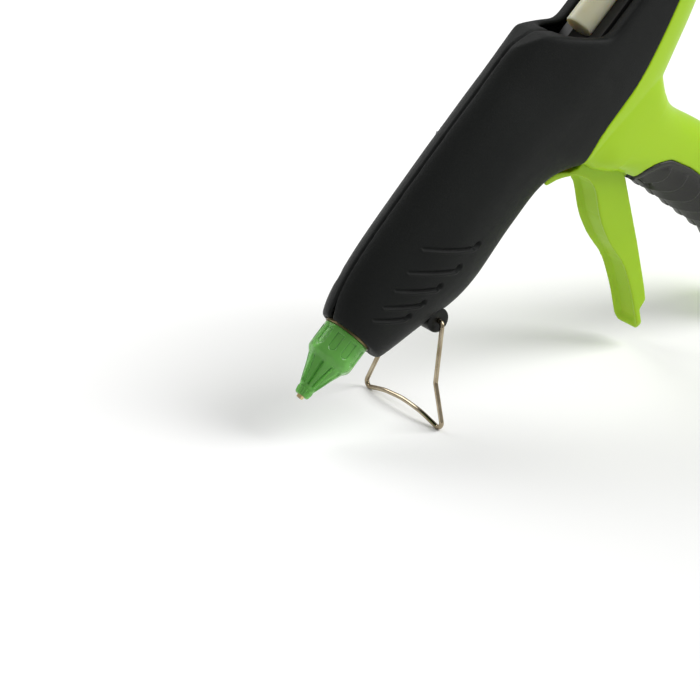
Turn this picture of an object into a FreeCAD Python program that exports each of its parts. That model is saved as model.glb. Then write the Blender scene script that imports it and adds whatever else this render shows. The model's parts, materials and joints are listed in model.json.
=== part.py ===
import FreeCAD, Part
import math
import os
import Sketcher

# A mains hot-melt glue gun for 11 mm sticks, standing on its wire stand and on the toe of its handle.
#
# Every piece is drawn in the gun's own frame and then stood up with one common placement:
#   X (called u) runs along the glue path, 0 at the nozzle's tip, positive towards the rear,
#   Y runs across the gun, positive to the right of the person holding it,
#   Z (called v) is up, square to the glue path, 0 on its centre line.

Vector = FreeCAD.Vector

# Driving dimensions in millimetres and degrees. Each becomes a cell of the spreadsheet "Dim".
DIMENSIONS = {
    # how the gun stands
    "pitch": 44.5,
    "toe_u": 163.0,
    # glue stick
    "stick_radius": 5.6,
    "stick_length": 102.0,
    "stick_front": 179.0,
    # housing
    "shell_wall": 2.4,
    "nose_wall": 3.0,
    "nose_hole_radius": 9.9,
    "body_rear": 238.0,
    "grip_thickness": 2.0,
    "neck_v": -50.0,
    "window_half_width": 11.5,
    "window_front": 169.5,
    "window_rear": 212.5,
    # nozzle
    "nozzle_tip_radius": 1.35,
    "nozzle_orifice": 0.8,
    "nozzle_cone_end": 16.0,
    "nozzle_barrel_radius": 6.4,
    "nozzle_flange_front": 27.0,
    "nozzle_flange_radius": 7.4,
    "nozzle_rear": 39.0,
    "thread_radius": 5.0,
    "valve_bore_radius": 3.0,
    "ball_radius": 2.3,
    "ball_centre": 35.2,
    # nozzle cover
    "cover_front": 1.2,
    "cover_rear": 29.6,
    "cover_radius": 9.5,
    "cover_shoulder": 16.5,
    # melt chamber and heater
    "chamber_front": 31.3,
    "chamber_rear": 104.0,
    "chamber_radius": 9.0,
    "chamber_neck_radius": 7.4,
    "chamber_bore_radius": 5.95,
    "heater_front": 50.0,
    "heater_rear": 92.0,
    "heater_half_width": 9.0,
    "heater_bottom": -14.5,
    "heater_slot_top": -8.6,
    "heater_slot_bottom": -12.6,
    "heater_slot_half_width": 7.5,
    # inlet sleeve
    "sleeve_front": 98.5,
    "sleeve_rear": 127.0,
    "sleeve_radius": 9.0,
    "sleeve_bore_radius": 6.2,
    # trigger and feed
    "pivot_u": 153.0,
    "pivot_v": -41.0,
    "pivot_pin_radius": 2.0,
    "trigger_half_width": 7.2,
    "trigger_travel": 18.0,
    "tongue_half_width": 4.5,
    "arm_inner": 8.8,
    "arm_outer": 11.0,
    "carriage_half_length": 9.0,
    "carriage_lead": 5.5,
    "carriage_half_width": 8.0,
    "carriage_bore_radius": 6.3,
    "drive_pin_radius": 1.8,
    "claw_pin_radius": 1.2,
    # wire stand
    "stand_u": 56.5,
    "stand_v": -23.0,
    "holder_radius": 5.0,
    "holder_half_width": 12.0,
    "wire_radius": 0.95,
    "wire_bend": 2.1,
    "arch_bend": 40.0,
    "foot_half_width": 24.9,
    # cord inlet
    "inlet_radius": 3.3,
    "gland_radius": 5.5,
    "gland_length": 12.0,
    "lead_radius": 0.9,
    "lead_bend": 3.0,
    # screws
    "screw_radius": 1.4,
    "screw_head_radius": 2.7,
    "boss_radius": 3.6,
}

# Stations of the body along u: top, bottom, half width, and how square the section is above and
# below its middle (2 is an ellipse, and less has a ridge).
BODY_STATIONS = [
    (30, 12.4, -16.0, 11.9, 2.1, 2.2),
    (33, 14.0, -16.9, 12.7, 2.05, 2.25),
    (39, 16.3, -18.6, 13.8, 1.95, 2.35),
    (50, 18.9, -22.0, 15.2, 1.8, 2.45),
    (62, 20.1, -26.0, 17.0, 1.75, 2.5),
    (76, 20.9, -28.6, 18.1, 1.72, 2.5),
    (92, 21.5, -27.8, 18.2, 1.72, 2.5),
    (112, 22.1, -26.6, 18.1, 1.72, 2.6),
    (124, 22.3, -27.2, 18.0, 1.75, 2.8),
    (133, 22.5, -31.0, 18.0, 1.8, 3.1),
    (141, 22.8, -38.0, 18.0, 1.85, 3.2),
    (152, 23.0, -43.5, 18.0, 1.95, 3.2),
    (168, 22.4, -46.5, 18.0, 2.2, 3.2),
    (185, 21.0, -46.0, 18.0, 2.5, 3.2),
    (199, 18.5, -41.0, 18.0, 2.7, 3.2),
    (213, 15.5, -36.0, 17.8, 2.8, 3.1),
    (226, 13.6, -31.0, 17.0, 2.8, 3.0),
    (238, 12.5, -26.0, 15.5, 2.7, 2.8),
]

# Stations of the handle down v: front edge, back edge, half width, squareness.
HANDLE_STATIONS = [
    (-34, 140.4, 193.0, 16.4, 5.0),
    (-43, 143.4, 190.0, 16.3, 5.0),
    (-50, 147.0, 187.6, 16.0, 4.4),
    (-57, 151.0, 187.3, 15.7, 3.6),
    (-66, 154.2, 189.3, 15.3, 3.0),
    (-80, 158.4, 194.0, 15.0, 2.6),
    (-98, 162.2, 198.5, 15.0, 2.6),
    (-118, 166.0, 203.0, 15.2, 2.6),
    (-138, 168.6, 206.8, 15.6, 2.7),
    (-152, 167.0, 209.6, 16.0, 2.9),
    (-164, 158.5, 212.0, 16.3, 3.1),
    (-175, 149.5, 214.0, 16.5, 3.2),
    (-194, 140.0, 217.0, 16.5, 3.2),
]

# Where the housing's screws cross it, in (u, v), and how far out each head sits.
SCREW_PLACES = [
    (46.0, 12.4, 6.2), (113.0, 14.0, 8.8), (113.0, -18.0, 11.2), (225.0, -15.0, 11.2), (178.0, -75.0, 11.2),
    (181.0, -148.0, 11.2),
]

# The outline of the trigger's side, in (u, v, corner radius), from its top lip down its front and back up.
TRIGGER_OUTLINE = [
    (125.6, -30.9, 0.7), (126.4, -29.1, 0.6), (130.0, -30.4, 2), (132.2, -31.4, 1), (134.0, -33.3, 1),
    (137.0, -36.6, 1), (140.5, -39.5, 2), (145.0, -39.4, 2), (149.0, -36.0, 1), (153.0, -34.9, 3),
    (159.1, -36.5, 3), (159.5, -47.0, 5), (153.0, -65.0, 5), (139.5, -93.9, 5), (129.2, -114.4, 3),
    (126.3, -119.2, 1.5), (121.6, -119.8, 0.8), (117.3, -128.2, 1.1), (115.0, -127.2, 1.1),
    (123.4, -111.0, 10), (129.6, -95.0, 12), (130.0, -82.0, 14), (133.4, -68.4, 14), (141.6, -54.0, 6),
    (140.8, -45.0, 9), (136.2, -38.0, 5), (130.6, -33.6, 3),
]

doc = FreeCAD.newDocument("glue_gun")
sheet = doc.addObject("Spreadsheet::Sheet", "Dim")
for row, (alias, number) in enumerate(DIMENSIONS.items(), start=1):
    sheet.set(f"A{row}", alias)
    sheet.set(f"B{row}", str(number))
    sheet.setAlias(f"B{row}", alias)
doc.recompute()

nodes = {}


def dim(alias):
    """A driving dimension as the spreadsheet holds it."""
    return float(sheet.get(alias))


# ---------------------------------------------------------------- bound sketches and bodies

def new_body(name):
    """An empty PartDesign body that becomes one node."""
    body = doc.addObject("PartDesign::Body", name)
    nodes[name] = body
    return body


def new_sketch(body, role):
    """A sketch on one of the body's own origin planes."""
    sketch = body.newObject("Sketcher::SketchObject", body.Name + "_sketch")
    plane = [feature for feature in body.Origin.OriginFeatures if feature.Role == role][0]
    sketch.AttachmentSupport = (plane, [""])
    sketch.MapMode = "FlatFace"
    return sketch


def bind(sketch, kind, geometry, point, expression):
    """Ties one coordinate of a sketch point to an expression of the spreadsheet."""
    value = float(sheet.evalExpression(expression))
    index = sketch.addConstraint(Sketcher.Constraint(kind, -1, 1, geometry, point, value))
    sketch.setExpression(f"Constraints[{index}]", expression)


def outline_sketch(body, role, corners):
    """A closed polygon whose corners are pairs of expressions."""
    sketch = new_sketch(body, role)
    places = [[float(sheet.evalExpression(text)) for text in corner] for corner in corners]
    count = len(corners)
    for index, place in enumerate(places):
        start = Vector(place[0], place[1], 0)
        end = Vector(places[(index + 1) % count][0], places[(index + 1) % count][1], 0)
        sketch.addGeometry(Part.LineSegment(start, end), False)
    for index in range(count):
        sketch.addConstraint(Sketcher.Constraint("Coincident", index, 2, (index + 1) % count, 1))
    for index, corner in enumerate(corners):
        bind(sketch, "DistanceX", index, 1, corner[0])
        bind(sketch, "DistanceY", index, 1, corner[1])
    return sketch


def circle_sketch(body, role, centre, radius):
    """A circle whose centre and radius are expressions."""
    sketch = new_sketch(body, role)
    place = [float(sheet.evalExpression(text)) for text in centre]
    value = float(sheet.evalExpression(radius))
    sketch.addGeometry(Part.Circle(Vector(place[0], place[1], 0), Vector(0, 0, 1), value), False)
    bind(sketch, "DistanceX", 0, 3, centre[0])
    bind(sketch, "DistanceY", 0, 3, centre[1])
    index = sketch.addConstraint(Sketcher.Constraint("Radius", 0, value))
    sketch.setExpression(f"Constraints[{index}]", radius)
    return sketch


def extrude(body, sketch, kind, length):
    """A pad or a pocket through the sketch's plane, the same each side, with its length bound."""
    feature = body.newObject("PartDesign::" + kind, body.Name + "_" + kind.lower())
    feature.Profile = sketch
    feature.Midplane = True
    feature.setExpression("Length", length)
    doc.recompute()
    return feature


def turned(name, corners):
    """A piece turned about the glue path from a closed outline of (u, radius) expressions."""
    body = new_body(name)
    sketch = outline_sketch(body, "XZ_Plane", corners)
    feature = body.newObject("PartDesign::Revolution", name + "_turning")
    feature.Profile = sketch
    feature.ReferenceAxis = (sketch, ["H_Axis"])
    feature.Angle = 360
    doc.recompute()
    return body


def plate(name, low_u, high_u, low_v, high_v, width):
    """A flat box, centred across the gun."""
    body = new_body(name)
    corners = [(low_u, low_v), (high_u, low_v), (high_u, high_v), (low_u, high_v)]
    extrude(body, outline_sketch(body, "XZ_Plane", corners), "Pad", width)
    return body


def feature_node(name, shape):
    """A free-form piece that becomes one node."""
    feature = doc.addObject("Part::Feature", name)
    feature.Shape = shape
    nodes[name] = feature
    return feature


# ---------------------------------------------------------------- free-form helpers

def rounded_face(corners):
    """A face in the u-v plane from (u, v, corner radius) points, with its corners rounded by arcs."""
    edges = []
    count = len(corners)
    ends = []
    for index, (u, v, radius) in enumerate(corners):
        here = Vector(u, 0, v)
        before = Vector(corners[index - 1][0], 0, corners[index - 1][1])
        after = Vector(corners[(index + 1) % count][0], 0, corners[(index + 1) % count][1])
        back = (before - here).normalize()
        ahead = (after - here).normalize()
        turn = math.pi - back.getAngle(ahead)
        if radius <= 0 or turn < math.radians(1):
            ends.append((here, here))
            continue
        reach = radius * math.tan(turn / 2)
        entry = here + back * reach
        leave = here + ahead * reach
        bulge = (back + ahead).normalize()
        middle = here + bulge * (radius / math.cos(turn / 2) - radius)
        edges.append((index, Part.Arc(entry, middle, leave).toShape()))
        ends.append((entry, leave))
    arcs = dict(edges)
    loop = []
    for index in range(count):
        if index in arcs:
            loop.append(arcs[index])
        start = ends[index][1]
        end = ends[(index + 1) % count][0]
        if start.distanceToPoint(end) > 1e-6:
            loop.append(Part.LineSegment(start, end).toShape())
    return Part.Face(Part.Wire(loop))


def slab(corners, low_y, high_y):
    """A rounded outline of the u-v plane, thickened from low_y to high_y."""
    face = rounded_face(corners)
    face.translate(Vector(0, low_y, 0))
    return face.extrude(Vector(0, high_y - low_y, 0))


def rod(u, v, radius, low_y, high_y):
    """A round bar across the gun."""
    return Part.makeCylinder(radius, high_y - low_y, Vector(u, low_y, v), Vector(0, 1, 0))


def barrel(low_u, high_u, radius):
    """A round bar along the glue path."""
    return Part.makeCylinder(radius, high_u - low_u, Vector(low_u, 0, 0), Vector(1, 0, 0))


def block(low_u, high_u, low_y, high_y, low_v, high_v):
    """A box from its lowest to its highest corner."""
    return Part.makeBox(high_u - low_u, high_y - low_y, high_v - low_v, Vector(low_u, low_y, low_v))


def squared_ring(half_a, half_b, upper_power, lower_power, steps=24):
    """Points round a rounded-square ring with the given half sizes."""
    ring = []
    for step in range(steps):
        angle = 2 * math.pi * step / steps
        power = upper_power if math.sin(angle) > 0 else lower_power
        across = abs(math.cos(angle) / half_a) ** power
        along = abs(math.sin(angle) / half_b) ** power
        reach = (across + along) ** (-1 / power)
        ring.append((reach * math.cos(angle), reach * math.sin(angle)))
    return ring


def closed_curve(points):
    """A smooth closed wire through points."""
    curve = Part.BSplineCurve()
    curve.interpolate(Points=points, PeriodicFlag=True)
    return Part.Wire(curve.toShape())


def body_form(inset, low_u, high_u):
    """The body's solid form, drawn in by the inset and kept between two u."""
    rings = []
    for u, top, bottom, half_width, upper, lower in BODY_STATIONS:
        middle = (top + bottom) / 2
        ring = squared_ring(half_width - inset, (top - bottom) / 2 - inset, upper, lower)
        rings.append(closed_curve([Vector(u, y, middle + v) for y, v in ring]))
    form = Part.makeLoft(rings, True, False)
    return form.common(block(low_u, high_u, -40, 40, -90, 60))


def handle_form(inset):
    """The handle's solid form, drawn in by the inset."""
    rings = []
    for v, front, back, half_width, power in HANDLE_STATIONS:
        middle = (front + back) / 2
        ring = squared_ring((back - front) / 2 - inset, half_width - inset, power, power)
        rings.append(closed_curve([Vector(middle + u, y, v) for u, y in ring]))
    return Part.makeLoft(rings, True, False)


def bent_wire(points, bends, radius):
    """A round wire along straight runs, joined at each inner point by an arc of its bend radius."""
    edges = []
    start = points[0]
    for index, bend in enumerate(bends, start=1):
        here = points[index]
        back = (points[index - 1] - here).normalize()
        ahead = (points[index + 1] - here).normalize()
        turn = math.pi - back.getAngle(ahead)
        reach = bend * math.tan(turn / 2)
        middle = here + (back + ahead).normalize() * (bend / math.cos(turn / 2) - bend)
        edges.append(Part.LineSegment(start, here + back * reach).toShape())
        edges.append(Part.Arc(here + back * reach, middle, here + ahead * reach).toShape())
        start = here + ahead * reach
    edges.append(Part.LineSegment(start, points[-1]).toShape())
    path = Part.Wire(edges)
    first_run = points[1] - points[0]
    section = Part.Wire(Part.makeCircle(radius, points[0], first_run))
    return path.makePipeShell([section], True, False)


def coil(low_u, high_u, turns, coil_radius, wire_radius):
    """A round-wire coil spring on the glue path."""
    points_per_turn = 16
    rise = (high_u - low_u - 2 * wire_radius) / (turns * points_per_turn)
    points = []
    for index in range(turns * points_per_turn + 1):
        angle = 2 * math.pi * index / points_per_turn
        points.append(Vector(low_u + wire_radius + rise * index, coil_radius * math.cos(angle),
                             coil_radius * math.sin(angle)))
    path = Part.BSplineCurve()
    path.interpolate(points)
    start_run = path.tangent(path.FirstParameter)[0]
    section = Part.Wire(Part.makeCircle(wire_radius, points[0], start_run))
    return Part.Wire(path.toShape()).makePipeShell([section], True, False)


# ---------------------------------------------------------------- stand and floor

def build_stand():
    """The barrel under the nose and the sprung wire that turns in it. The wire's feet set the floor."""
    holder = new_body("stand_holder")
    place = ("Dim.stand_u", "Dim.stand_v")
    extrude(holder, circle_sketch(holder, "XZ_Plane", place, "Dim.holder_radius"), "Pad",
            "Dim.holder_half_width * 2")
    extrude(holder, circle_sketch(holder, "XZ_Plane", place, "Dim.wire_radius + 0.05"), "Pocket",
            "Dim.holder_half_width * 2 + 2")

    half = dim("holder_half_width")
    one_side = [
        Vector(dim("stand_u"), half - 8.5, dim("stand_v")),
        Vector(dim("stand_u"), half + 2.2, dim("stand_v")),
        Vector(37.3, half + 5.2, -36.7),
        Vector(24.0, dim("foot_half_width"), -48.5),
    ]
    arch = [Vector(26.3, -11.5, -45.8), Vector(27.0, 0, -44.9), Vector(26.3, 11.5, -45.8)]
    other_side = [Vector(place.x, -place.y, place.z) for place in one_side]
    tight = [dim("wire_bend")] * 3
    soft = [dim("arch_bend")] * len(arch)
    wire = bent_wire(other_side + arch + one_side[::-1], tight + soft + tight, dim("wire_radius"))
    feature_node("wire_stand", wire)
    return wire


UPRIGHT = FreeCAD.Placement(Vector(0, 0, 0), FreeCAD.Rotation(Vector(0, 1, 0), -dim("pitch")))
PITCH = math.radians(dim("pitch"))
standing_wire = build_stand().copy()
standing_wire.Placement = UPRIGHT
TIP_HEIGHT = -standing_wire.optimalBoundingBox(False).ZMin


def floor_v(u):
    """The v of the floor under the standing gun at u."""
    return -(TIP_HEIGHT + u * math.sin(PITCH)) / math.cos(PITCH)


# ---------------------------------------------------------------- housing

WALL = dim("shell_wall")
FAR = 60.0


def window_cutter(drop):
    """The scoop that leaves the stick open to view. A drop moves it down and forward by a wall."""
    return slab([
        (146 - drop, FAR, 0), (146 - drop, 23.0 - drop, 0), (153.8 - drop * 0.4, 22.7 - drop, 16),
        (163.5 - drop * 0.4, 18.8 - drop, 12), (180.6 - drop * 0.4, -2.2 - drop, 8), (209 + drop * 0.4, -2.2 - drop, 6),
        (217.5 + drop * 0.4, 14.2 - drop, 3), (224 + drop, 14.6 - drop, 0), (224 + drop, FAR, 0),
    ], -FAR, FAR)


def below_base():
    """Everything under the toe's resting face and the handle's end."""
    toe_u = dim("toe_u")
    base_rise = 0.2
    return slab([
        (100, floor_v(100), 0), (toe_u, floor_v(toe_u), 0),
        (250, floor_v(toe_u) + base_rise * (250 - toe_u), 0), (250, -300, 0), (100, -300, 0),
    ], -FAR, FAR)


def black_side():
    """The side of the colour break that belongs to the body shells."""
    curve = Part.BSplineCurve()
    curve.interpolate([Vector(u, 0, v) for u, v in [
        (143.6, -32.0), (152.3, -29.2), (168.6, -28.3), (182.5, -26.6), (195.9, -23.1), (209.8, -18.7),
        (226.0, -12.8), (250.0, -4.0)]])
    rim = [Vector(250, 0, -4.0), Vector(250, 0, FAR), Vector(20, 0, FAR), Vector(20, 0, -FAR),
           Vector(139.0, 0, -FAR), Vector(139.0, 0, -38.6), Vector(140.6, 0, -35.2), Vector(143.6, 0, -32.0)]
    edges = [Part.LineSegment(rim[index], rim[index + 1]).toShape() for index in range(len(rim) - 1)]
    face = Part.Face(Part.Wire([curve.toShape()] + edges))
    face.translate(Vector(0, -FAR, 0))
    return face.extrude(Vector(0, 2 * FAR, 0))


def grip_side():
    """The part of the handle that the rubber covers."""
    return slab([
        (138, -69.0, 0), (154.6, -67.8, 2), (158.6, -64.0, 3.5), (164.4, -66.4, 8), (170.2, -71.6, 8),
        (174.6, -84, 30), (181.6, -120, 40), (182.4, -143, 8), (166, -154.5, 6), (138, -154.5, 0),
    ], -FAR, FAR)


def trigger_slot():
    """The gap that the trigger swings through, round the tongue that its hollow back swallows."""
    half = dim("trigger_half_width") + 0.5
    gap = slab([(139.3, -36.6, 0), (147, -33, 0), (158, -36, 0), (162, -44, 1), (161.8, -64, 3), (159.8, -82, 2),
                (156, -88, 0), (139.3, -88, 0)], -half, half)
    tongue = slab([(130, -56.5, 0), (175, -56.5, 0), (175, -100, 0), (130, -100, 0)],
                  -dim("tongue_half_width"), dim("tongue_half_width"))
    return gap.cut(tongue)


def above_neck():
    """The side of the handle's neck that belongs to the rear shells."""
    return block(100, 300, -FAR, FAR, dim("neck_v"), FAR)


def boss_set(side):
    """Screw posts, and the trigger pin's seats, on one side of the gun: 1 is right, -1 is left."""
    posts = [rod(u, v, dim("boss_radius"), min(0, side * 30), max(0, side * 30)) for u, v, _ in SCREW_PLACES]
    seat_start = dim("arm_outer") + 0.4
    low, high = sorted((side * seat_start, side * 30))
    posts.append(rod(dim("pivot_u"), dim("pivot_v"), 4.6, low, high))
    return posts


def bore_set(side):
    """The holes that the screws and the trigger pin go into on one side."""
    bores = []
    for u, v, seat in SCREW_PLACES:
        if side > 0:
            bores.append(rod(u, v, dim("screw_radius") + 0.2, -1, 20))
            bores.append(rod(u, v, dim("screw_head_radius") + 0.3, seat, 30))
        else:
            bores.append(rod(u, v, dim("screw_radius") + 0.03, 0.7 - seat, 1))
    low, high = sorted((side * 5, side * 13.1))
    bores.append(rod(dim("pivot_u"), dim("pivot_v"), dim("pivot_pin_radius") + 0.03, low, high))
    return bores


def gland_place():
    """The cord gland's outer end and the direction that the cord leaves in."""
    lean = math.radians(11.5)
    outward = Vector(math.sin(lean), 0, -math.cos(lean))
    end_u = 192.0
    return Vector(end_u, 0, floor_v(dim("toe_u")) + 0.2 * (end_u - dim("toe_u"))), outward


def build_housing():
    """The body shells, the rear and handle shells under them, and the rubber on the handle."""
    rear = dim("body_rear")
    outer_body = body_form(0, 30, rear).cut(window_cutter(0))
    inner_body = body_form(WALL, 30 + dim("nose_wall"), rear - WALL).cut(window_cutter(WALL))
    outer_handle = handle_form(0)
    inner_handle = handle_form(WALL + 0.4)
    base_cutter = below_base()
    outer = outer_body.fuse(outer_handle).cut(base_cutter)
    raised_base = base_cutter.copy()
    raised_base.translate(Vector(0, 0, 3.4))
    hollow = inner_body.fuse(inner_handle.cut(raised_base))

    end, outward = gland_place()
    inlet_hole = Part.makeCylinder(dim("gland_radius") + 0.03, 24, end - outward * 16, outward)
    holder_hole = rod(dim("stand_u"), dim("stand_v"), dim("holder_radius") + 0.02, -30, 30)
    window = block(dim("window_front"), dim("window_rear"), -dim("window_half_width"),
                   dim("window_half_width"), -7.5, FAR)
    window = window.makeFillet(6, [edge for edge in window.Edges
                                   if abs(edge.tangentAt(edge.FirstParameter).z) > 0.99])
    openings = [
        barrel(20, 40, dim("nose_hole_radius")),
        barrel(rear - 8, rear + 10, 8.1),
        barrel(dim("window_rear") - 4, dim("window_rear") + 11, 7.4),
        barrel(dim("window_front") - 12, dim("window_front") + 4, dim("stick_radius") + 0.5),
        window, inlet_hole, holder_hole,
    ]
    rubber_band = handle_form(-0.02).cut(handle_form(dim("grip_thickness"))).common(grip_side()).cut(base_cutter)
    break_tool = black_side()
    neck = above_neck()
    slot = trigger_slot()
    for side, word in ((-1, "left"), (1, "right")):
        half = block(0, 300, min(0, side * FAR), max(0, side * FAR), -300, FAR)
        skin = outer.common(half)
        shell = skin.cut(hollow)
        for post in boss_set(side):
            shell = shell.fuse(post.common(skin))
        for opening in openings:
            shell = shell.cut(opening)
        for bore in bore_set(side):
            shell = shell.cut(bore)
        feature_node("body_shell_" + word, shell.common(break_tool))
        green = shell.cut(break_tool).cut(slot).cut(rubber_band)
        feature_node("rear_shell_" + word, green.common(neck))
        feature_node("handle_shell_" + word, green.cut(neck))
        feature_node("grip_pad_" + word, rubber_band.common(skin).cut(break_tool).cut(slot))


def build_screws():
    """Pan-head screws, all driven from the right."""
    screws = []
    for u, v, seat in SCREW_PLACES:
        shank = rod(u, v, dim("screw_radius"), 1.4 - seat, seat + 0.2)
        head = rod(u, v, dim("screw_head_radius"), seat + 0.05, seat + 1.8)
        recess = block(u - 0.45, u + 0.45, seat + 0.8, seat + 3, v - 1.7, v + 1.7)
        cross = block(u - 1.7, u + 1.7, seat + 0.8, seat + 3, v - 0.45, v + 0.45)
        screws.append(shank.fuse(head).cut(recess).cut(cross))
    feature_node("housing_screws", Part.makeCompound(screws))


# ---------------------------------------------------------------- nozzle and heater

def build_nozzle():
    """The brass nozzle, its drip valve, the cover over it and the ring that holds it in the nose."""
    turned("nozzle", [
        ("0", "Dim.nozzle_orifice"), ("0", "Dim.nozzle_tip_radius"), ("2.5", "Dim.nozzle_tip_radius + 0.3"),
        ("Dim.nozzle_cone_end", "5.2"), ("Dim.nozzle_cone_end + 2", "Dim.nozzle_barrel_radius"),
        ("Dim.nozzle_flange_front", "Dim.nozzle_barrel_radius"),
        ("Dim.nozzle_flange_front", "Dim.nozzle_flange_radius"),
        ("Dim.chamber_front - 0.3", "Dim.nozzle_flange_radius"), ("Dim.chamber_front - 0.3", "Dim.thread_radius"),
        ("Dim.nozzle_rear", "Dim.thread_radius"), ("Dim.nozzle_rear", "1.6"), ("Dim.nozzle_rear - 2", "1.6"),
        ("Dim.nozzle_rear - 3.4", "Dim.valve_bore_radius"), ("21", "Dim.valve_bore_radius"), ("19", "1.1"),
        ("4", "1.0"),
    ])
    turned("nozzle_cover", [
        ("Dim.cover_front", "Dim.nozzle_tip_radius + 0.25"), ("Dim.cover_front", "2.9"),
        ("Dim.cover_front + 2.6", "3.3"), ("8", "4.6"), ("12.5", "6.2"), ("Dim.cover_shoulder", "7.9"),
        ("Dim.cover_shoulder + 2.6", "Dim.cover_radius"), ("Dim.cover_rear", "Dim.cover_radius"),
        ("Dim.cover_rear", "Dim.nozzle_flange_radius + 0.1"),
        ("Dim.nozzle_flange_front - 0.2", "Dim.nozzle_flange_radius + 0.1"),
        ("Dim.nozzle_flange_front - 0.2", "Dim.nozzle_barrel_radius + 0.1"),
        ("Dim.nozzle_cone_end + 1.9", "Dim.nozzle_barrel_radius + 0.1"),
        ("Dim.nozzle_cone_end - 0.1", "5.4"), ("2.5", "Dim.nozzle_tip_radius + 0.5"),
    ])
    ball = doc.addObject("Part::Sphere", "nozzle_ball")
    ball.setExpression("Radius", "Dim.ball_radius")
    nodes["nozzle_ball"] = ball
    feature_node("nozzle_spring", coil(21.2, dim("ball_centre") - dim("ball_radius") + 0.35, 6, 2.3, 0.28))
    turned("nose_ring", [
        ("29.9", "Dim.nozzle_flange_radius + 0.2"), ("32.4", "Dim.nozzle_flange_radius + 0.2"),
        ("32.4", "Dim.nose_hole_radius - 0.05"), ("29.9", "Dim.nose_hole_radius - 0.05"),
    ])


def build_heater():
    """The melt chamber, with the heating plate and its contacts in a slot under the bore."""
    chamber = turned("melt_chamber", [
        ("Dim.chamber_front", "Dim.thread_radius + 0.05"), ("Dim.chamber_front", "7.2"), ("44", "7.2"),
        ("46", "Dim.chamber_radius"), ("Dim.heater_rear", "Dim.chamber_radius"),
        ("Dim.heater_rear", "Dim.chamber_neck_radius"), ("Dim.chamber_rear", "Dim.chamber_neck_radius"),
        ("Dim.chamber_rear", "Dim.chamber_bore_radius + 0.4"), ("Dim.chamber_rear - 1", "Dim.chamber_bore_radius"),
        ("44", "Dim.chamber_bore_radius"), ("Dim.nozzle_rear + 0.6", "Dim.thread_radius + 0.05"),
    ])
    lump = [("Dim.heater_front", "Dim.heater_bottom"), ("Dim.heater_rear", "Dim.heater_bottom"),
            ("Dim.heater_rear", "-Dim.chamber_bore_radius - 0.6"),
            ("Dim.heater_front", "-Dim.chamber_bore_radius - 0.6")]
    extrude(chamber, outline_sketch(chamber, "XZ_Plane", lump), "Pad", "Dim.heater_half_width * 2")
    slot = [("Dim.heater_front - 1", "Dim.heater_slot_bottom"), ("Dim.heater_rear + 1", "Dim.heater_slot_bottom"),
            ("Dim.heater_rear + 1", "Dim.heater_slot_top"), ("Dim.heater_front - 1", "Dim.heater_slot_top")]
    extrude(chamber, outline_sketch(chamber, "XZ_Plane", slot), "Pocket", "Dim.heater_slot_half_width * 2")

    film = plate("heater_film", "Dim.heater_front + 0.5", "Dim.heater_rear - 0.5",
                 "Dim.heater_slot_bottom + 0.1", "Dim.heater_slot_top - 0.1",
                 "Dim.heater_slot_half_width * 2 - 0.2")
    inside = [("Dim.heater_front - 1", "Dim.heater_slot_bottom + 0.5"),
              ("Dim.heater_rear + 1", "Dim.heater_slot_bottom + 0.5"),
              ("Dim.heater_rear + 1", "Dim.heater_slot_top - 0.5"),
              ("Dim.heater_front - 1", "Dim.heater_slot_top - 0.5")]
    extrude(film, outline_sketch(film, "XZ_Plane", inside), "Pocket", "Dim.heater_slot_half_width * 2 - 1")
    plate("heating_plate", "Dim.heater_front + 4", "Dim.heater_rear - 4", "Dim.heater_slot_bottom + 1.0",
          "Dim.heater_slot_top - 1.0", "12")
    plate("lower_contact", "Dim.heater_front + 3", "Dim.heater_rear + 7", "Dim.heater_slot_bottom + 0.55",
          "Dim.heater_slot_bottom + 0.95", "5")
    plate("upper_contact", "Dim.heater_front + 3", "Dim.heater_rear + 7", "Dim.heater_slot_top - 0.95",
          "Dim.heater_slot_top - 0.55", "5")
    turned("front_support", [("34.2", "7.3"), ("38", "7.3"), ("38", "10.2"), ("34.2", "10.2")])
    rear_support = turned("rear_support", [
        ("94", "Dim.chamber_neck_radius + 0.1"), ("97", "Dim.chamber_neck_radius + 0.1"),
        ("97", "14.4"), ("94", "14.4")])
    passage = [("93", "Dim.heater_slot_bottom - 0.2"), ("98", "Dim.heater_slot_bottom - 0.2"),
               ("98", "-7.8"), ("93", "-7.8")]
    extrude(rear_support, outline_sketch(rear_support, "XZ_Plane", passage), "Pocket", "8")


def build_inlet():
    """The rubber sleeve that leads the stick into the chamber, and the wire clip round it."""
    turned("inlet_sleeve", [
        ("Dim.sleeve_front", "Dim.chamber_neck_radius + 0.05"), ("Dim.sleeve_front", "Dim.sleeve_radius"),
        ("Dim.chamber_rear + 2", "Dim.sleeve_radius"), ("Dim.chamber_rear + 4", "8.2"),
        ("Dim.sleeve_rear - 2", "8.2"), ("Dim.sleeve_rear - 2", "9.3"), ("Dim.sleeve_rear", "9.3"),
        ("Dim.sleeve_rear", "Dim.sleeve_bore_radius + 0.6"), ("Dim.sleeve_rear - 2", "Dim.sleeve_bore_radius"),
        ("Dim.chamber_rear + 0.3", "Dim.sleeve_bore_radius"),
        ("Dim.chamber_rear + 0.3", "Dim.chamber_neck_radius + 0.05"),
    ])
    clip = doc.addObject("Part::Torus", "sleeve_clip")
    clip.setExpression("Radius1", "Dim.sleeve_radius + 0.8")
    clip.setExpression("Radius2", "0.75")
    clip.Placement = FreeCAD.Placement(Vector(101.5, 0, 0), FreeCAD.Rotation(Vector(0, 1, 0), 90))
    nodes["sleeve_clip"] = clip


# ---------------------------------------------------------------- trigger and feed

ARM = -dim("pivot_v")
HALF_TRAVEL = math.radians(dim("trigger_travel") / 2)
DRIVE_U = dim("pivot_u") + ARM * math.tan(HALF_TRAVEL)


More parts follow.
